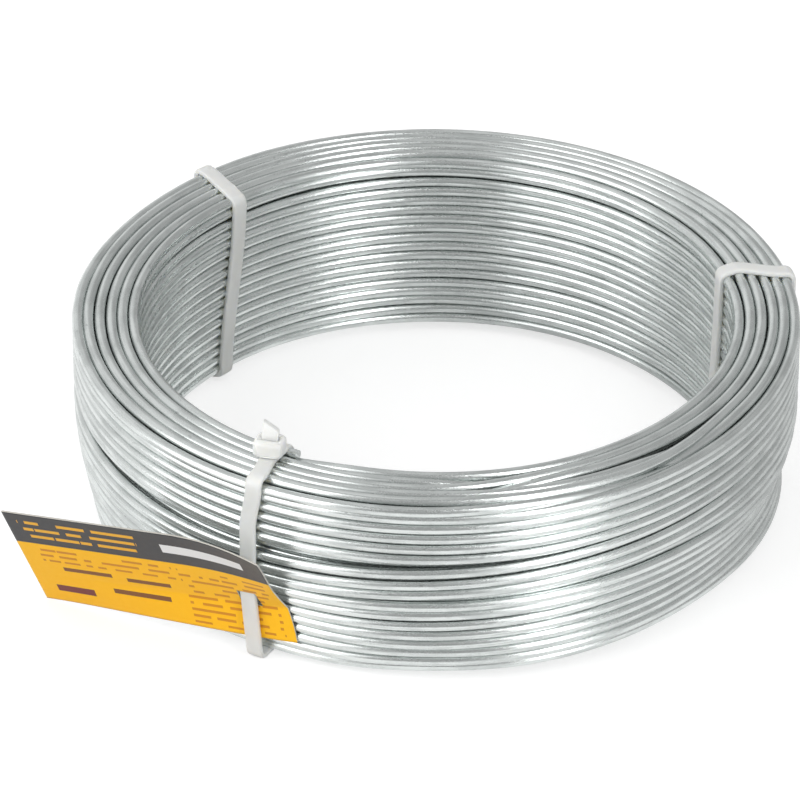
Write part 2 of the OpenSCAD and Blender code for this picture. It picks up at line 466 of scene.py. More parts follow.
# %% Inner layers
INNER_END_AT = 244
FIRST_CROSSING = 361
CROSSING_CREEP = 1.09
CROSSING_WIDTH = 28
INNER_ROW = 2.1 * MM
INNER_FOOT = 0.9 * MM
NESTED = 2.1 * MM                           # the fourth layer's lowest ring is this much higher
SWAY = 0.05 * MM
END_LEVEL = (84, 60)                        # the way where the inner end's lift goes, and over
SECOND_LIFT, SECOND_LEVEL = (224, 40), (345, 400)
END_SPRING_UP, END_SPRING_IN = 0.6 * MM, 0.25 * MM
BLACK_GAP, BLACK_GAP_AFTER, BLACK_GAP_REACH = 0.8 * MM, 10, 34


def column(radius, low, high, count, down):
    """The rings of one layer, from the top down or from the foot up."""
    heights = np.linspace(low, high, count)
    return [(radius, z) for z in (heights[::-1] if down else heights)]


inner_high = low_z + INNER_FOOT + INNER_ROW * (TURNS_HIGH - 1)
layer_rings = [
    column(layer_r[0], low_z + INNER_FOOT, inner_high, TURNS_HIGH, down=True),
    column(layer_r[1], low_z, high_z, TURNS_HIGH - 1, down=False),
    column(layer_r[2], low_z, high_z, TURNS_HIGH - 1, down=True),
    column(layer_r[3], low_z + NESTED, high_z, TURNS_HIGH - 2, down=False),
    column(layer_r[4], rows[-FIFTH_TURNS], high_z, FIFTH_TURNS, down=True),
]
inner_rings = [ring for layer in layer_rings for ring in layer]
ring_span = 360 - CROSSING_CREEP
inner_crossings = FIRST_CROSSING + ring_span * np.arange(len(inner_rings) - 1)
inner_way, inner_at, inner_r, inner_z = wound(
    INNER_END_AT, inner_rings, inner_crossings, CROSSING_WIDTH,
    end=FIRST_CROSSING + ring_span * (len(inner_rings) - 1))

top_lift = high_z - inner_high
inner_z += top_lift * (1 - after(inner_way, *END_LEVEL))      # the inner end is level with the top
inner_z += top_lift * after(inner_way, *SECOND_LIFT) * (1 - after(inner_way, *SECOND_LEVEL))
inner_z += END_SPRING_UP * (1 - after(inner_way, 1, 9))       # and springs up past the tie
inner_r -= END_SPRING_IN * (1 - after(inner_way, 1, 12))
last_of_fourth = inner_crossings[sum(len(layer) for layer in layer_rings[:4]) - 2]
inner_r += BLACK_GAP * hill(inner_way, last_of_fourth + BLACK_GAP_AFTER, BLACK_GAP_REACH)
inner_r += wander(inner_way, 3, SWAY)
inner_z += wander(inner_way, 4, SWAY)
print(len(inner_rings), "inner rings,", round(inner_way[-1] / 360, 1), "turns")

# %% [markdown]
# The outermost pass comes up beside the fifth layer's top turn, at the front right, and goes
# down the outer wall. Its crossings are long and at the front right, where the turns run
# aslant. Half-way down, two turns of the fifth layer come out between its own: there its
# crossings go down two rows at once, and a dark gap shows on the left.
#
# The upper half of the wall is upright. Below row 9 it leans in towards the foot, where the
# wire's outer end is tucked away at the back.

# %% Outer wall
FLUSH_FROM_ROW = 9
FOOT_LEAN_IN = 3.2 * MM
LEAN_IN_BEND = 1.4


def wall_place(row):
    """The outer wall's radius and height at a row, which may lie between two whole ones. It
    is outermost from row 9 up; below, it leans in by a power of the share of the way down."""
    share = max(0, 1 - row / FLUSH_FROM_ROW)
    return outer_r - FOOT_LEAN_IN * share ** LEAN_IN_BEND, low_z + row * row_step


print("the wall leans in by", round(FOOT_LEAN_IN / MM, 1), "mm at its foot")

# %% Outermost pass
OUTER_START_AT = 322
UPPER_CROSSING = (310, 100)                 # middle and width, in degrees round the coil
LOWER_CROSSING = (284, 76)
TWO_ROWS_DOWN = [(9.85, (284, 132)), (7.8, (284, 125))]
OUTER_END = 170                             # degrees from the last full turn to the wire's end

outer_steps = [(row, UPPER_CROSSING) for row in (16, 15, 14, 13, 12)]
outer_steps += TWO_ROWS_DOWN
outer_steps += [(row, LOWER_CROSSING) for row in (7, 6, 5, 4, 3, 2, 1, 0)]
outer_rings = [wall_place(row) for row in (17, *(row for row, _ in outer_steps))]
crossing_at, outer_widths = np.array([crossing for _, crossing in outer_steps]).T
outer_crossings = OUTER_START_AT - crossing_at + 360 * np.arange(1, len(outer_rings))
outer_way, outer_at, outer_path_r, outer_path_z = wound(
    OUTER_START_AT, outer_rings, outer_crossings, outer_widths,
    end=360 * (len(outer_rings) - 1) + OUTER_END)
print(len(outer_rings), "outermost rings")

# %% [markdown]
# The first turn of this pass is the rim that shows all round the top. It begins under its
# neighbours and rises between them, sags for a third of a turn and again a turn later, and
# is tucked in at two places at the back. Each of these is a smooth step or a hill, of a
# size that is named here, taken off the path's radius or height.

# %% How the first turn lies
START_DEPTH = 1.5 * MM                      # it begins this deep, and this low
START_INSIDE, START_BELOW = (12, 48), (6, 34)       # the way where that ends, and over
TOP_SAG, TOP_SAG_UNTIL = 0.75 * MM, (105, 45)
SECOND_SAG, SECOND_SAG_AT = 0.55 * MM, (365, 55)    # depth, and the way's middle and reach
FIRST_TURN_UNTIL = (300, 70)
BACK_TUCKS = [(0.45 * MM, 60, 90), (0.75 * MM, 147, 30)]      # depth, angle and reach

outer_path_r -= START_DEPTH * (1 - after(outer_way, *START_INSIDE))
outer_path_z -= TOP_SAG * (1 - after(outer_way, *TOP_SAG_UNTIL))
outer_path_z -= START_DEPTH * (1 - after(outer_way, *START_BELOW))
outer_path_z -= SECOND_SAG * hill(outer_way, *SECOND_SAG_AT)
first_turn = 1 - after(outer_way, *FIRST_TURN_UNTIL)
for depth, middle, reach in BACK_TUCKS:
    outer_path_r -= first_turn * depth * hill(outer_at, middle, reach)
print("the first turn sags by", round(TOP_SAG / MM, 2), "mm")

# %% [markdown]
# The turns of the lower wall lie loosely. They bulge at the front, draw in to a waist at the
# right, sink in along two creases near the foot, and give way behind the card. Each of these
# is a change of radius that depends on the height and on the angle round the coil.

# %% How the lower wall lies
FRONT_BULGE, FRONT_BULGE_AT = 0.65, (282, 48)       # share of the lean, angle and reach
BULGE_FROM_WAY = 720
WAIST, WAIST_Z, WAIST_HALF = 1.4 * MM, 12 * MM, 4.5 * MM
FOOT_BULGE, FOOT_BULGE_HIGH = 0.7 * MM, 5 * MM
RIGHT_SIDE = (92, 75)                       # middle and reach, in degrees from the front
# creases: depth, height, angle and reach
CREASES = [(0.8 * MM, 6.4 * MM, 300, 45), (0.6 * MM, 8.7 * MM, 266, 20)]
CREASE_EDGE = 1.2 * MM
CARD_PRESS, CARD_PRESS_AT = 0.62 * MM, (241, 22)
CARD_PRESS_BELOW, CARD_PRESS_EDGE = 17.5 * MM, 3 * MM

round_at = outer_at % 360
lower = ease((CARD_PRESS_BELOW - outer_path_z) / CARD_PRESS_EDGE)
above_foot = ease((outer_path_z - low_z) / row_step)
bulge = FRONT_BULGE * hill(round_at, *FRONT_BULGE_AT) * above_foot
outer_path_r += (outer_r - outer_path_r) * bulge * (outer_way > BULGE_FROM_WAY)
waist = np.exp(-((outer_path_z - WAIST_Z) / WAIST_HALF) ** 2)
foot = 1 - ease((outer_path_z - low_z) / FOOT_BULGE_HIGH)
outer_path_r += (FOOT_BULGE * foot - WAIST * waist) * hill((outer_at + 90) % 360, *RIGHT_SIDE)
for depth, height, middle, reach in CREASES:
    below = ease((height - outer_path_z) / CREASE_EDGE)
    outer_path_r -= depth * below * hill(round_at, middle, reach)
outer_path_r -= CARD_PRESS * lower * hill(round_at, *CARD_PRESS_AT)
outer_path_r = np.minimum(outer_path_r + wander(outer_way, 5, SWAY), outer_r)
outer_path_z = np.clip(outer_path_z + wander(outer_way, 6, SWAY), low_z, high_z)
print("the wall's radius, mm:", np.round([outer_path_r.min() / MM, outer_path_r.max() / MM], 1))

# %% [markdown]
# The two turns that come out between the outermost ones belong to the fifth layer. They
# rise out of it over a third of a turn, lie in the wall, and sink back under the outermost
# pass at the front right. They are wound by the same formula, from three rings.

# %% Two turns between
BETWEEN_START_AT = 292
BETWEEN_ROWS = (11, 8.8, 8)
BETWEEN_CROSSINGS = [(289, 130), (295, 70)]         # angle and width
BETWEEN_END = 800                           # the way at its end
COMES_OUT = (20, 110)
SINKS_BACK = [(1.0 * MM, 682, 24), (1.1 * MM, 760, 30)]       # depth, the way there, and over

between_rings = [wall_place(row) for row in BETWEEN_ROWS]
between_crossing_at, between_widths = np.array(BETWEEN_CROSSINGS).T
between_crossings = BETWEEN_START_AT - between_crossing_at + 360 * np.array([1, 2])
between_way, between_at, between_r, between_z = wound(
    BETWEEN_START_AT, between_rings, between_crossings, between_widths, end=BETWEEN_END)
between_r -= LAYER_STEP * (1 - after(between_way, *COMES_OUT))
for depth, start, over in SINKS_BACK:
    between_r -= depth * after(between_way, start, over)
between_r += wander(between_way, 7, SWAY)
between_z += wander(between_way, 8, SWAY)
between_r = np.minimum(between_r, outer_r)
print("between them", round(between_way[-1] / 360, 1), "turns of the fifth layer")

# %% [markdown]
# ## The wire
#
# The path is given a round section: a circle of points square to the path, at each step.
# Besides its place, each point keeps where it would be on the straight wire, as length,
# across and down. The finish reads that, so its drawing lines run along the wire.

# %% Tube
SIDES = 16


def tube(at, r, z):
    """A round wire along a path that runs clockwise round the coil. A point is the path's
    point plus radius x (cos a x outward + sin a x downward), where outward and downward are
    square to the path. Also gives each point's place on the straight wire."""
    a = np.radians(at)
    path = np.stack([r * np.cos(a), r * np.sin(a), z], axis=-1)
    along = np.gradient(path, axis=0)
    along /= np.linalg.norm(along, axis=1, keepdims=True)
    outward = np.stack([np.cos(a), np.sin(a), np.zeros_like(a)], axis=-1)
    outward -= along * np.sum(along * outward, axis=1, keepdims=True)
    outward /= np.linalg.norm(outward, axis=1, keepdims=True)
    downward = np.cross(outward, along)
    turn = 2 * math.pi * np.arange(SIDES) / SIDES
    across, down = WIRE_R * np.cos(turn), WIRE_R * np.sin(turn)
    points = (path[:, None] + across[None, :, None] * outward[:, None]
              + down[None, :, None] * downward[:, None])
    steps = np.linalg.norm(np.diff(path, axis=0), axis=1)
    length = np.concatenate([[0], np.cumsum(steps)])
    straight = np.stack(np.broadcast_arrays(
        length[:, None], across[None, :], down[None, :]), axis=-1)
    return points, straight


print("a round wire of", SIDES, "sides,", round(2 * WIRE_R / MM, 2), "mm thick")

# %% [markdown]
# Galvanized wire is steel drawn through a die and pulled through molten zinc. It is bright
# but not a mirror: fine lines run along it, the zinc lies in slightly duller and brighter
# patches, and there are a few dark specks where it was rubbed. All of that is in the
# roughness, a small change of the grey, and a very shallow bump. The noises are stretched by
# cells a metre along the wire, across it and down, so the lines come out long and thin.

# %% Zinc finish
ZINC_BRIGHT = (0.70, 0.732, 0.722)
ZINC_DULL = (0.545, 0.572, 0.564)
ZINC_RUBBED = (0.30, 0.32, 0.32)


def zinc_material():
    """Metal with drawing lines along it, patches of duller zinc, and rubbed specks."""
    g = new_material("galvanized_zinc")
    place = g.add("ShaderNodeAttribute", {"attribute_name": "straight_place"}, out=1)
    lines = g.noise(g.stretch(place, (60, 2600, 2600)), 1.0, detail=3, rough=0.6)
    patches = g.noise(g.stretch(place, (160, 500, 500)), 1.0, detail=3, rough=0.55)
    grain = g.noise(g.stretch(place, (1500, 3200, 3200)), 1.0, detail=2)
    specks = g.noise(g.stretch(place, (500, 900, 900)), 1.0, detail=1).fade(0.72, 0.80)
    dull = (lines * 0.45 + patches * 0.55).fade(0.40, 0.62)
    shade = g.mix(dull, ZINC_BRIGHT, ZINC_DULL)
    shade = g.mix(specks * 0.4, shade, ZINC_RUBBED)
    rough = dull * 0.10 + grain * 0.10 + 0.17
    bump = g.add("ShaderNodeBump", {}, {
        "Strength": 0.35, "Distance": 0.00003, "Height": lines * 0.6 + grain * 0.4})
    return g.finish(g.add("ShaderNodeBsdfPrincipled", {}, {
        "Base Color": shade, "Metallic": 1.0, "Roughness": rough, "Normal": bump}))


zinc = zinc_material()
print("zinc finish ready")

# %% [markdown]
# The real wire is one piece. Here it is cut where one layer passes under the next, where no
# cut shows, so that each piece stays small.

# %% Wire pieces


def add_wire(name, points, straight):
    """A length of wire, with its two ends closed."""
    mesh = grid_mesh(name, points, ring=True, capped=True, traits={"straight_place": straight})
    return add_piece(name, mesh, zinc, "wire_coil")


inner_points, inner_straight = tube(inner_at, inner_r, inner_z)
layer_ends = np.cumsum([len(layer) for layer in layer_rings])[:-1]
cut_ways = [inner_crossings[end - 1] for end in layer_ends]
cuts = [0, *np.searchsorted(inner_way, cut_ways), len(inner_way) - 1]
for number, (first, last) in enumerate(zip(cuts, cuts[1:]), start=1):
    part = slice(first, last + 1)
    add_wire(f"wire_layer_{number}", inner_points[part], inner_straight[part])
add_wire("wire_layer_5_end", *tube(between_at, between_r, between_z))
add_wire("wire_layer_6", *tube(outer_at, outer_path_r, outer_path_z))
print("inner layers", round(float(inner_straight[-1, 0, 0]), 1), "m of wire")

# %% [markdown]
# ## Cable ties
#
# A tie is a nylon band drawn tight round the coil. In the plane of a tie, its middle line is
# a loop at an even distance outside the corner turns: straight runs, and a round bend at
# each corner. The corners are worked out all at once, and the loop is then divided evenly.

# %% Loop round the corner turns
TIE_GAP = 0.1 * MM
TIE_W = 3.2 * MM
TIE_T = 1.1 * MM
STRAP_MIDDLE = WIRE_R + TIE_GAP + TIE_T / 2
TIGHT_MIDDLE = WIRE_R + TIE_T / 2 - 0.2 * MM   # drawn so tight that it bites on the crests
LOOP_STEPS = 420
CORNER_STEPS = 12

foot_in = (layer_r[0], low_z)
top_out = (outer_r, high_z)
top_in = (layer_r[0], high_z)
soft_foot = [(layer_r[0], low_z + INNER_FOOT), (layer_r[1], low_z)]
lean_wall = [wall_place(row) for row in (0, 3, 6, FLUSH_FROM_ROW)]
soft_top = [top_out, (layer_r[1], high_z), (layer_r[0], inner_high)]


def loop_line(corners, away, count):
    """Points (r, z) evenly spaced along a loop that runs that far outside the corners, which
    are listed anticlockwise. At each corner the loop bends round it on an arc."""
    corners = np.array(corners)
    ahead = np.roll(corners, -1, axis=0) - corners
    heading = np.arctan2(ahead[:, 1], ahead[:, 0])
    before = np.roll(heading, 1)
    turn = np.maximum((heading - before + 3 * math.pi) % (2 * math.pi) - math.pi, 0)
    share = np.linspace(0, 1, CORNER_STEPS)
    angle = before[:, None] - math.pi / 2 + turn[:, None] * share
    arcs = corners[:, None] + away * np.stack([np.cos(angle), np.sin(angle)], axis=-1)
    line = arcs.reshape(-1, 2)
    line = np.vstack([line, line[:1]])
    way = np.concatenate([[0], np.cumsum(np.linalg.norm(np.diff(line, axis=0), axis=1))])
    even = np.linspace(0, way[-1], count, endpoint=False)
    return np.stack([np.interp(even, way, line[:, k]) for k in (0, 1)], axis=-1), way[-1]


print("the tight ties follow", len(soft_foot + lean_wall + soft_top), "corner turns")

# %% [markdown]
# The band's section is a flat oval with soft edges, carried along that loop. Its wire side
# has the small teeth that the head's catch bites into: a zigzag in the section's depth.

# %% Band
TOOTH_STEP = 1.0 * MM
TOOTH_DEPTH = 0.12 * MM
TOOTH_SIDE = 0.8, 0.7                       # toothed beyond this depth, and within this width
EDGE_SQUARE = 5.0                           # how square the flat oval's corners are
BAND_SIDES = 28


def signed_power(x, power):
    """x to a power, with the sign of x."""
    return np.sign(x) * np.abs(x) ** power


def oval(count, half_thick, half_wide, square):
    """A flat oval: |x / half_thick|^square + |y / half_wide|^square = 1."""
    a = 2 * math.pi * np.arange(count) / count
    power = 2 / square
    return (half_thick * signed_power(np.cos(a), power),
            -half_wide * signed_power(np.sin(a), power))


def band(name, corners, away, at_of):
    """A strap along the loop that runs that far outside the corners: the loop's point plus
    the section's depth x outward plus its width x sideways. at_of(r, z) is the angle round
    the coil, which may drift along the loop."""
    line, whole = loop_line(corners, away, LOOP_STEPS)
    r, z = line.T
    at = np.radians(at_of(r, z))
    ahead = np.roll(line, -1, axis=0) - np.roll(line, 1, axis=0)
    ahead /= np.linalg.norm(ahead, axis=1, keepdims=True)
    radial = np.stack([np.cos(at), np.sin(at), np.zeros_like(at)], axis=-1)
    sideways = np.stack([-np.sin(at), np.cos(at), np.zeros_like(at)], axis=-1)
    upward = np.array([0, 0, 1.0])
    outward = ahead[:, 1:] * radial - ahead[:, :1] * upward
    thick, wide = oval(BAND_SIDES, TIE_T / 2, TIE_W / 2, EDGE_SQUARE)
    way = whole * np.arange(LOOP_STEPS) / LOOP_STEPS
    tooth = np.abs((way / TOOTH_STEP) % 1 - 0.5) * 2 * TOOTH_DEPTH
    toothed = ((thick < -TOOTH_SIDE[0] * TIE_T / 2)
               & (np.abs(wide) < TOOTH_SIDE[1] * TIE_W / 2))
    depth = thick[None, :] + tooth[:, None] * toothed[None, :]
    middle = r[:, None] * radial + z[:, None] * upward
    points = (middle[:, None] + depth[:, :, None] * outward[:, None]
              + wide[None, :, None] * sideways[:, None])
    places = np.stack(np.broadcast_arrays(way[:, None], wide[None, :], thick[None, :]), axis=-1)
    return grid_mesh(name, points, loop=True, ring=True, traits={"straight_place": places})


print("a band", round(TIE_W / MM, 1), "x", round(TIE_T / MM, 1), "mm, with a tooth a millimetre")

# %% [markdown]
# Natural nylon is milky: light goes a little way in, so the edges are brighter and what
# lies behind shows as a faint tint. Part of the light passes straight through a rough
# surface, and part is scattered inside.

# %% Nylon finish
NYLON = (0.87, 0.875, 0.85)
NYLON_CLOUDED = (0.82, 0.825, 0.80)


def nylon_material():
    """Milky nylon with faint lines from the mould along it."""
    g = new_material("milky_nylon")
    place = g.add("ShaderNodeAttribute", {"attribute_name": "straight_place"}, out=1)
    cloud = g.noise(g.stretch(place, (120, 260, 260)), 1.0, detail=2)
    lines = g.noise(g.stretch(place, (90, 3000, 3000)), 1.0, detail=2)
    shade = g.mix(cloud.fade(0.35, 0.65), NYLON, NYLON_CLOUDED)
    bump = g.add("ShaderNodeBump", {}, {
        "Strength": 0.3, "Distance": 0.00003, "Height": lines * 0.5 + cloud * 0.5})
    return g.finish(g.add("ShaderNodeBsdfPrincipled", {}, {
        "Base Color": shade, "Roughness": cloud * 0.1 + 0.42, "Normal": bump,
        "IOR": 1.5, "Transmission Weight": 0.25, "Subsurface Weight": 0.6,
        "Subsurface Radius": (0.0015, 0.0014, 0.0012), "Subsurface Scale": 1.0}))


nylon = nylon_material()
print("nylon finish ready")

# %% [markdown]
# The head is a small block with soft corners, and a slot through it where the end of the
# band comes out. A rounded block is a sphere whose sines and cosines are raised to a small
# power. Round the band, its top dips in to make the slot. The end was cut off at a slope,
# and it still curls from having been wrapped round the coil.

# %% Head and cut end
HEAD_L = 4.9 * MM
HEAD_W = 5.7 * MM
HEAD_TALL = 3.35 * MM
HEAD_STEP = 1.10 * MM                       # from the band's wire side to the head's underside
HEAD_ROUND = 0.42
BLOCK_SIDES, BLOCK_ROWS = 72, 41
BLOCK_POLE = 89.5                           # degrees: the block's caps are this close to its poles
SLOT_DEPTH = 0.45 * MM
SLOT_HALF = 0.85 * TIE_T, 0.60 * TIE_W
SLOT_FROM, SLOT_EDGE = 0.9, 0.25            # where its side begins and how wide, as shares
TAIL_L = 2.40 * MM
TAIL_CURL = 0.108 / MM                      # how far it bends in, for the square of its height
TAIL_FROM = 0.4                             # it begins inside the head, at this share of it
TAIL_ROWS = 9


def rounded_block(length, width, height):
    """A rounded block about the origin: x = half length x C(v) x C(u), y = half width x C(v)
    x S(u), z = half height x S(v), where C and S are cos and sin to a small power."""
    u = 2 * math.pi * np.arange(BLOCK_SIDES) / BLOCK_SIDES
    v = np.radians(np.linspace(-BLOCK_POLE, BLOCK_POLE, BLOCK_ROWS))
    cu, su = signed_power(np.cos(u), HEAD_ROUND), signed_power(np.sin(u), HEAD_ROUND)
    cv, sv = signed_power(np.cos(v), HEAD_ROUND), signed_power(np.sin(v), HEAD_ROUND)
    return np.stack(np.broadcast_arrays(
        length / 2 * cv[:, None] * cu, width / 2 * cv[:, None] * su,
        height / 2 * sv[:, None] * np.ones_like(cu)), axis=-1)


def cut_end(length, slope):
    """The end of the band, standing up from the origin. A point's height is a share of the
    height of the cut above it, which is length less slope x the way from one edge."""
    thick, wide = oval(BAND_SIDES, TIE_T / 2, TIE_W / 2, EDGE_SQUARE)
    share = np.linspace(0, 1, TAIL_ROWS)[:, None]
    top = length - slope * (TIE_W / 2 - wide)
    return np.stack(np.broadcast_arrays(thick, -wide, share * top), axis=-1)[::-1]


def in_plane(points, at, place, lean, twist=0.0):
    """Local points (along the band, across it, away from it) to the coil's frame: twisted
    about their own upright axis, leaned in the tie's plane, moved to place, and turned to at."""
    x, y, z = np.moveaxis(points, -1, 0)
    t, l, a = (math.radians(v) for v in (twist, lean, at))
    x, y = x * math.cos(t) - y * math.sin(t), x * math.sin(t) + y * math.cos(t)
    r = place[0] + x * math.cos(l) - z * math.sin(l)
    up = place[1] + x * math.sin(l) + z * math.cos(l)
    return np.stack([
        r * math.cos(a) - y * math.sin(a), r * math.sin(a) + y * math.cos(a), up], axis=-1)


def join(name, meshes):
    """One mesh from several, with their traits."""
    whole = bmesh.new()
    for mesh in meshes:
        whole.from_mesh(mesh)
        bpy.data.meshes.remove(mesh)
    joined = bpy.data.meshes.new(name)
    whole.to_mesh(joined)
    whole.free()
    return joined


def add_tie(name, corners, away, at_of, head_at, head_place, lean, twist=0.0, slope=0.3):
    """A tie: band, head and cut end, as one piece. head_place is the point of the band's
    wire side under the middle of the head."""
    block = rounded_block(HEAD_L, HEAD_W, HEAD_TALL)
    x, y, z = np.moveaxis(block, -1, 0)
    near = np.maximum(np.abs(x) / SLOT_HALF[0], np.abs(y) / SLOT_HALF[1])
    z -= np.where(z > 0, SLOT_DEPTH * (1 - ease((near - SLOT_FROM) / SLOT_EDGE)), 0)
    block[..., 2] = z + HEAD_STEP + HEAD_TALL / 2
    stub = cut_end(HEAD_TALL * (1 - TAIL_FROM) + TAIL_L, slope)
    stub[..., 0] -= TAIL_CURL * stub[..., 2] ** 2
    stub[..., 2] += HEAD_STEP + HEAD_TALL * TAIL_FROM
    parts = [band(name, corners, away, at_of)]
    for points in (block, stub):
        placed = in_plane(points, head_at, head_place, lean, twist)
        traits = {"straight_place": points}
        parts.append(grid_mesh(name, placed, ring=True, capped=True, traits=traits))
    return add_piece(name, join(name, parts), nylon, name)


print("tie helpers ready")

# %% [markdown]
# The front tie also goes round the card, so its lower run stands off the coil. Its head is
# on top, twisted on the band, and the band leans sideways where it bends over the top edge.
# The back tie has slipped a little along the inner wall, and so has the right one. Their
# heads are low down, on the outer and the inner wall.

# %% Ties
STRAP_AT = 240.65                           # angles round the coil, in degrees
STRAP_SKEW, SKEW_FROM = 1.05, 0.76          # how far it leans, and the share of the height
HEAD_AT = 240.4
FRONT_FOOT = (66.13 * MM, low_z)
FRONT_PROP = (68.15 * MM, 16.1 * MM)
FRONT_HEAD_R = 61.3 * MM
FRONT_TWIST = 16
FRONT_CUT = 0.4                             # slope of the cut end
BACK_AT = 132
BACK_DRIFT = (1.5, 6.0)                     # on the inner wall, at the top and at the foot
RIGHT_AT = 11.5
RIGHT_DRIFT = (3.2, 5.4)
BACK_HEAD_Z = 9 * MM
RIGHT_HEAD_Z = 5 * MM
STRAP_IN = WIRE_R + TIE_GAP


def skewed(r, z):
    """The front tie's angle: its band leans sideways where it bends over the top edge."""
    outward = ease((r - FRONT_HEAD_R) / (outer_r - FRONT_HEAD_R))
    return STRAP_AT + STRAP_SKEW * outward * ease((z / high_z - SKEW_FROM) / (1 - SKEW_FROM))


add_tie("tie_front",
        [foot_in, FRONT_FOOT, FRONT_PROP, top_out, top_in], STRAP_MIDDLE,
        skewed, HEAD_AT, (FRONT_HEAD_R, high_z + STRAP_IN), lean=0,
        twist=FRONT_TWIST, slope=FRONT_CUT)


def drifting(at, drift):
    """A tie's angle: even on the outer wall, and drifting down the inner one."""
    def angle(r, z):
        inner = ease((outer_r - r) / (outer_r - layer_r[0]))
        fallen = ease(1 - z / high_z)
        return at + inner * (drift[0] + (drift[1] - drift[0]) * fallen)
    return angle


low_r, low_at_z = lean_wall[1]
wall_slope = math.atan2(lean_wall[2][1] - low_at_z, lean_wall[2][0] - low_r)
back_head_r = (low_r + (BACK_HEAD_Z - low_at_z) / math.tan(wall_slope)
               + STRAP_IN / math.sin(wall_slope))
tight_loop = [*soft_foot, *lean_wall, *soft_top]
add_tie("tie_back", tight_loop, TIGHT_MIDDLE, drifting(BACK_AT, BACK_DRIFT),
        BACK_AT, (back_head_r, BACK_HEAD_Z), lean=math.degrees(wall_slope) - 180)
add_tie("tie_right", tight_loop, TIGHT_MIDDLE, drifting(RIGHT_AT, RIGHT_DRIFT),
        RIGHT_AT + RIGHT_DRIFT[1], (foot_in[0] - STRAP_IN, RIGHT_HEAD_Z), lean=90)

# %% [markdown]
# ## Card tag
#
# The card is a thin sheet threaded on the front tie by a slit. Below the slit it is held
# between the band and the wire; above, it leans out in front of the band, and its free end
# droops until its lower corner is just off the floor. So a point of the card is a point on
# the line along it through the slit, plus a step down its face in a direction that leans.
# Handling has left its short end and its foot a little hollow.

# %% Card surface
CARD_T = 0.3 * MM
SLIT_AT = 240.7
SLIT_R = 68.64 * MM
SLIT_Z = 13.1 * MM
CARD_LEFT, CARD_RIGHT = -45.3 * MM, 7.7 * MM
CARD_TOP, CARD_FOOT = -19.8 * MM, 8.7 * MM
CARD_YAW = math.radians(SLIT_AT + 90 + 6.4)
CARD_CURL = math.radians(0.3) / MM
CARD_DROOP = math.radians(6.363)
FACE_LEAN, CORNER_LEAN, FOOT_LEAN = (math.radians(v) for v in (24.5, 35, 8.3))
LIFT = 12 * MM                              # the corner's extra lean begins this far left
END_HOLLOW, END_HOLLOW_AT = 0.14, (-7 * MM, 13 * MM)          # share, middle and reach
FOOT_HOLLOW, FOOT_HOLLOW_AT = 0.08, (-9 * MM, 32 * MM)


def card_points(u, v):
    """Points of the card's middle sheet. u runs along it from the slit to its short end, and
    v down its face. The line through the slit is straight, then an arc past the tie. Where an
    edge is hollow, the points before it are drawn in by a share of their u or v."""
    u, v = (np.where(u > 0, u * (1 - END_HOLLOW * hill(v, *END_HOLLOW_AT)), u),
            np.where(v > 0, v * (1 - FOOT_HOLLOW * hill(u, *FOOT_HOLLOW_AT)), v))
    yaw = CARD_YAW + CARD_CURL * np.maximum(0, u)
    straight = np.minimum(0, u)
    ahead = straight * math.cos(CARD_YAW) + (np.sin(yaw) - math.sin(CARD_YAW)) / CARD_CURL
    aside = straight * math.sin(CARD_YAW) + (math.cos(CARD_YAW) - np.cos(yaw)) / CARD_CURL
    slit_at = math.radians(SLIT_AT)
    line = np.stack([
        SLIT_R * math.cos(slit_at) + ahead * math.cos(CARD_DROOP),
        SLIT_R * math.sin(slit_at) + aside * math.cos(CARD_DROOP),
        SLIT_Z + u * math.sin(CARD_DROOP)], axis=-1)
    upper = FACE_LEAN + (CORNER_LEAN - FACE_LEAN) * np.clip(
        (u + LIFT) / (CARD_RIGHT + LIFT), 0, 1) ** 2
    lower = FACE_LEAN + (FOOT_LEAN - FACE_LEAN) * ease(1 - u / CARD_LEFT)
    lean = np.where(v < 0, upper, lower)
    down = np.stack([
        np.cos(lean) * math.sin(CARD_DROOP) * np.cos(yaw) - np.sin(lean) * np.sin(yaw),
        np.cos(lean) * math.sin(CARD_DROOP) * np.sin(yaw) + np.sin(lean) * np.cos(yaw),
        -np.cos(lean) * math.cos(CARD_DROOP)], axis=-1)
    return line + v[..., None] * down


corner = card_points(np.array(CARD_LEFT), np.array(CARD_FOOT))
print("the card's free lower corner, mm:", np.round(corner / MM, 1))

# %% [markdown]
# The print is drawn with masks on the card's own u and v: a dark band over the upper third,
# amber below it, and plain bars of different lengths where a label would have its lines.
# Each block of bars is a box, given by its left, right, top and foot in millimetres.

# %% Card print
AMBER, AMBER_FIBRE = (1.0, 0.535, 0.006), (0.96, 0.49, 0.005)
BAND_GREY = (0.048, 0.048, 0.051)
INK = (0.20, 0.075, 0.02)
FINE_INK = (0.62, 0.24, 0.012)
RED_INK = (0.16, 0.03, 0.03)
HEADING_INK = (0.82, 0.42, 0.03)
PALE = (0.80, 0.80, 0.80)
BAND_FOOT = -10.3 * MM
FINE_BOXES = [(-41.5, -14, -9.3, -4.6), (-13.0, 5.8, -8.6, 7.6)]
LARGE_BARS = [(-38, -28, -3.2, -2.0), (-25, -16, -2.6, -1.4), (-29, -17, 1.6, 3.0)]
RED_BAR = [(-41.5, -33.5, 3.2, 5.2)]
HEADING_BOX = [(-43, -19, -18.6, -11.6)]
PALE_RULE = [(-14, 3, -16.2, -13.6)]
BAR_THICK = 0.42                            # share of a row's step
BAR_CUT = 0.44                              # noise above this is a bar
ROW_JUMP = 7.3                              # how far apart the rows lie in the noise


def in_boxes(u, v, boxes):
    """1 inside any of the boxes, which don't overlap, and 0 outside."""
    masks = [(u > left * MM) * (u < right * MM) * (v > top * MM) * (v < foot * MM)
             for left, right, top, foot in boxes]
    return sum(masks[1:], masks[0])


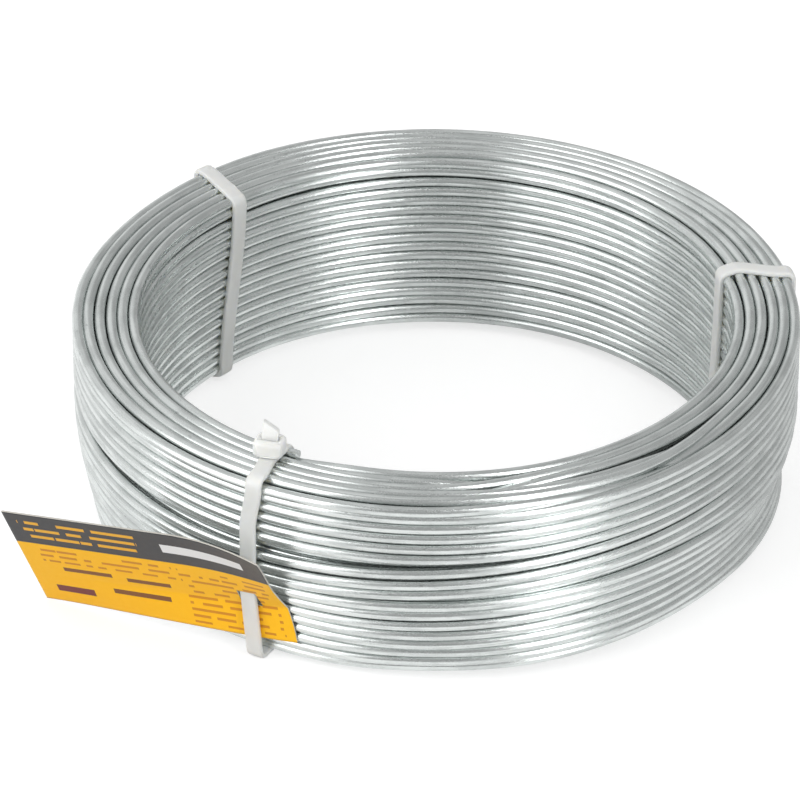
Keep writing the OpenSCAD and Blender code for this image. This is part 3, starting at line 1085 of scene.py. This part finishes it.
def bar_rows(g, u, v, step, word, seed):
    """Rows of plain bars: a row for each step down, cut into bars by a noise along the row."""
    row = v / step
    number = row.math("FLOOR")
    line = (row - number) < BAR_THICK
    place = g.add("ShaderNodeCombineXYZ", {}, {0: u / word, 1: number * ROW_JUMP + seed})
    return line * (g.noise(place, 1.0, detail=0) > BAR_CUT)


def print_material():
    """Glossy printed card: amber, a dark band, and plain bars."""
    g = new_material("card_print")
    place = g.add("ShaderNodeAttribute", {"attribute_name": "card_place"}, out=1)
    split = "ShaderNodeSeparateXYZ"
    u = g.add(split, {}, {0: place}, out=0)
    v = g.add(split, {}, {0: place}, out=1)
    fibre = g.noise(place, 900.0, detail=3)
    shade = g.mix(fibre, AMBER, AMBER_FIBRE)
    fine = bar_rows(g, u, v, 1.75 * MM, 2.6 * MM, 3.0)
    shade = g.mix(fine * in_boxes(u, v, FINE_BOXES), shade, FINE_INK)
    shade = g.mix(in_boxes(u, v, LARGE_BARS), shade, INK)
    shade = g.mix(in_boxes(u, v, RED_BAR), shade, RED_INK)
    shade = g.mix(v < BAND_FOOT, shade, BAND_GREY)
    heading = bar_rows(g, u, v, 2.2 * MM, 2.2 * MM, 11.0)
    shade = g.mix(heading * in_boxes(u, v, HEADING_BOX), shade, HEADING_INK)
    shade = g.mix(in_boxes(u, v, PALE_RULE), shade, PALE)
    bump = g.add("ShaderNodeBump", {}, {"Strength": 0.12, "Distance": 0.00005, "Height": fibre})
    return g.finish(g.add("ShaderNodeBsdfPrincipled", {}, {
        "Base Color": shade, "Roughness": fibre * 0.15 + 0.42, "Normal": bump,
        "Specular IOR Level": 0.35}))


def paper_material(name, shade):
    """Bare card, with faint fibres."""
    g = new_material(name)
    place = g.add("ShaderNodeTexCoord", out=3)
    fibre = g.noise(place, 1400.0, detail=3)
    colour = g.mix(fibre, shade, tuple(0.94 * c for c in shade))
    bump = g.add("ShaderNodeBump", {}, {"Strength": 0.2, "Distance": 0.00005, "Height": fibre})
    return g.finish(g.add("ShaderNodeBsdfPrincipled", {}, {
        "Base Color": colour, "Roughness": fibre * 0.2 + 0.6, "Normal": bump}))


print("card finishes ready")

# %% [markdown]
# The grid of the card has lines along the slit's four sides, so the slit is made by leaving
# out the faces between them. Solidify then gives the sheet its thickness, with a bare back
# and a rim whose darker colour is painted shade along the card's cut edge.

# %% Card
SLIT_LEFT, SLIT_RIGHT = -1.8 * MM, 2.3 * MM
SLIT_TOP, SLIT_FOOT = -4.3 * MM, 0.25 * MM
# The rim's colour is darker than bare card: it is painted shade along the card's edge.
CARD_BACK, CARD_RIM_PAINTED_SHADE = (0.72, 0.72, 0.70), (0.52, 0.50, 0.45)


def lines_through(marks, count):
    """About count values from the first mark to the last, with each mark among them."""
    return np.unique(np.concatenate([
        np.linspace(a, b, max(2, round(count * (b - a) / (marks[-1] - marks[0])) + 1))
        for a, b in zip(marks, marks[1:])]))


across = lines_through([CARD_LEFT, SLIT_LEFT, SLIT_RIGHT, CARD_RIGHT], 110)
down = lines_through([CARD_TOP, SLIT_TOP, 0, SLIT_FOOT, CARD_FOOT], 60)
U, V = np.meshgrid(across, down)
middle_u, middle_v = (across[1:] + across[:-1]) / 2, (down[1:] + down[:-1]) / 2
slit = (((middle_u > SLIT_LEFT) & (middle_u < SLIT_RIGHT))[None, :]
        & ((middle_v > SLIT_TOP) & (middle_v < SLIT_FOOT))[:, None])
card_mesh = grid_mesh("tag", card_points(U, V), keep=~slit, traits={
    "card_place": np.stack([U, V, np.zeros_like(U)], axis=-1)})
card = add_piece("tag_card", card_mesh, print_material(), "tag")
card_mesh.materials.append(paper_material("card_back", CARD_BACK))
# The rim gets the darker colour, which paints the shade along the edge.
card_mesh.materials.append(paper_material("card_rim_painted_shade", CARD_RIM_PAINTED_SHADE))
shell = card.modifiers.new("thickness", "SOLIDIFY")
shell.thickness = CARD_T
shell.offset = 0
shell.material_offset = 1
shell.material_offset_rim = 2
card_size = [round(side / MM, 1) for side in (CARD_RIGHT - CARD_LEFT, CARD_FOOT - CARD_TOP)]
print("card", card_size, "mm")

# %% [markdown]
# ## Sizes
#
# Both boxes are printed, the CAD model's and the visual one, to show whether the looks grow the
# object past the CAD model.

# %% Sizes
boxes = {
    "cad": [list(corner) for corner in cad_bounds],
    "visual": [list(corner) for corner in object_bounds()],
}
for key, corners in boxes.items():
    print(key, [[round(x / MM, 2) for x in corner] for corner in corners])
